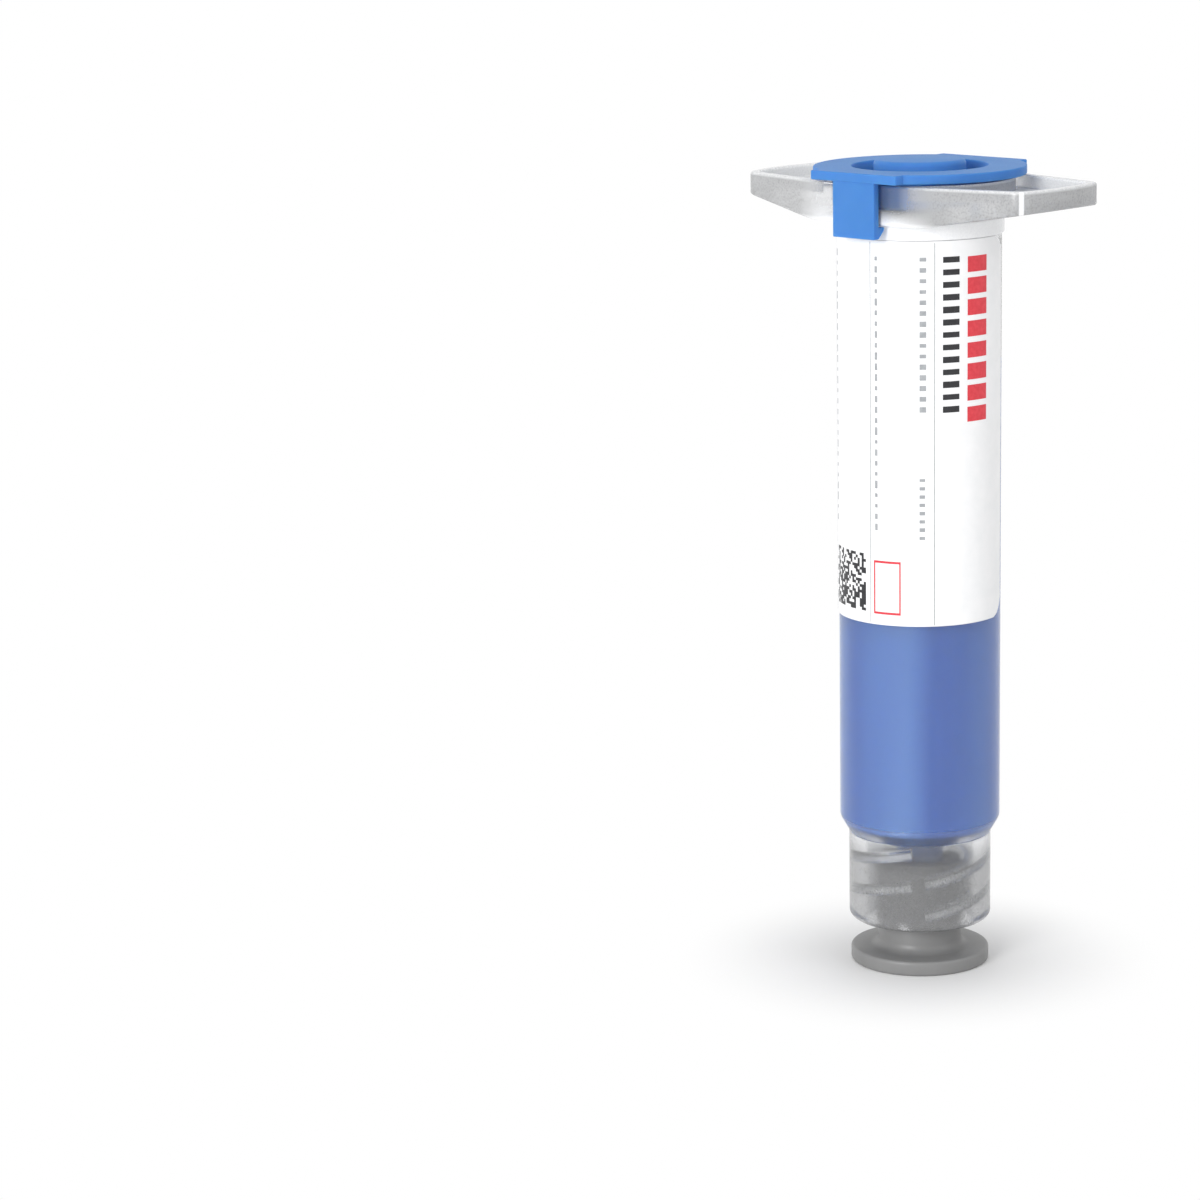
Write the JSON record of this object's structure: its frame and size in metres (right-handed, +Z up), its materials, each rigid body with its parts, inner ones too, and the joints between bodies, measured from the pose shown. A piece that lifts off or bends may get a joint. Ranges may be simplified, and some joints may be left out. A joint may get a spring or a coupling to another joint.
{
  "type": "epoxy syringe",
  "caption": "Capped adhesive syringe: frosted barrel with finger flange and luer-lock outlet, paste pushed by a sliding piston, clip-on end cap and pull-off tip cap.",
  "frame": {"origin": "on the barrel's axis at the underside of the tip cap, which the closed syringe stands on", "axes": "+Z up the barrel's axis from the tip cap to the end cap, X along the finger flange's ears, Y across its flat sides"},
  "size_m": [0.0274, 0.0152, 0.0608],
  "materials": {
    "frosted_polypropylene": "frosted natural polypropylene",
    "label_film": "white polypropylene label film, satin",
    "epoxy_paste": "blue uncured epoxy paste, smooth and wet",
    "white_polyethylene": "moulded white polyethylene",
    "blue_polyethylene": "moulded blue polyethylene, satin",
    "grey_polyethylene": "moulded grey polyethylene, satin"
  },
  "bodies": {
    "barrel": {"barrel": "frosted_polypropylene", "label": "label_film", "epoxy_fill": "epoxy_paste", "nozzle_epoxy": "epoxy_paste"},
    "piston": {"piston": "white_polyethylene"},
    "end_cap": {"end_cap": "blue_polyethylene", "end_cap_legs": "blue_polyethylene"},
    "tip_cap": {"tip_cap": "grey_polyethylene"}
  },
  "joints": [
    {"name": "piston_push", "type": "slide", "parent": "barrel", "child": "piston", "axis": [0, 0, -1], "range_m": [0, 0.0345], "deforming": ["epoxy_fill"]},
    {"name": "end_cap_lift", "type": "slide", "parent": "barrel", "child": "end_cap", "axis": [0, 0, 1], "range_m": [0, 0.012], "deforming": ["end_cap_legs"]},
    {"name": "tip_cap_pull", "type": "slide", "parent": "barrel", "child": "tip_cap", "axis": [0, 0, -1], "range_m": [0, 0.01]}
  ]
}
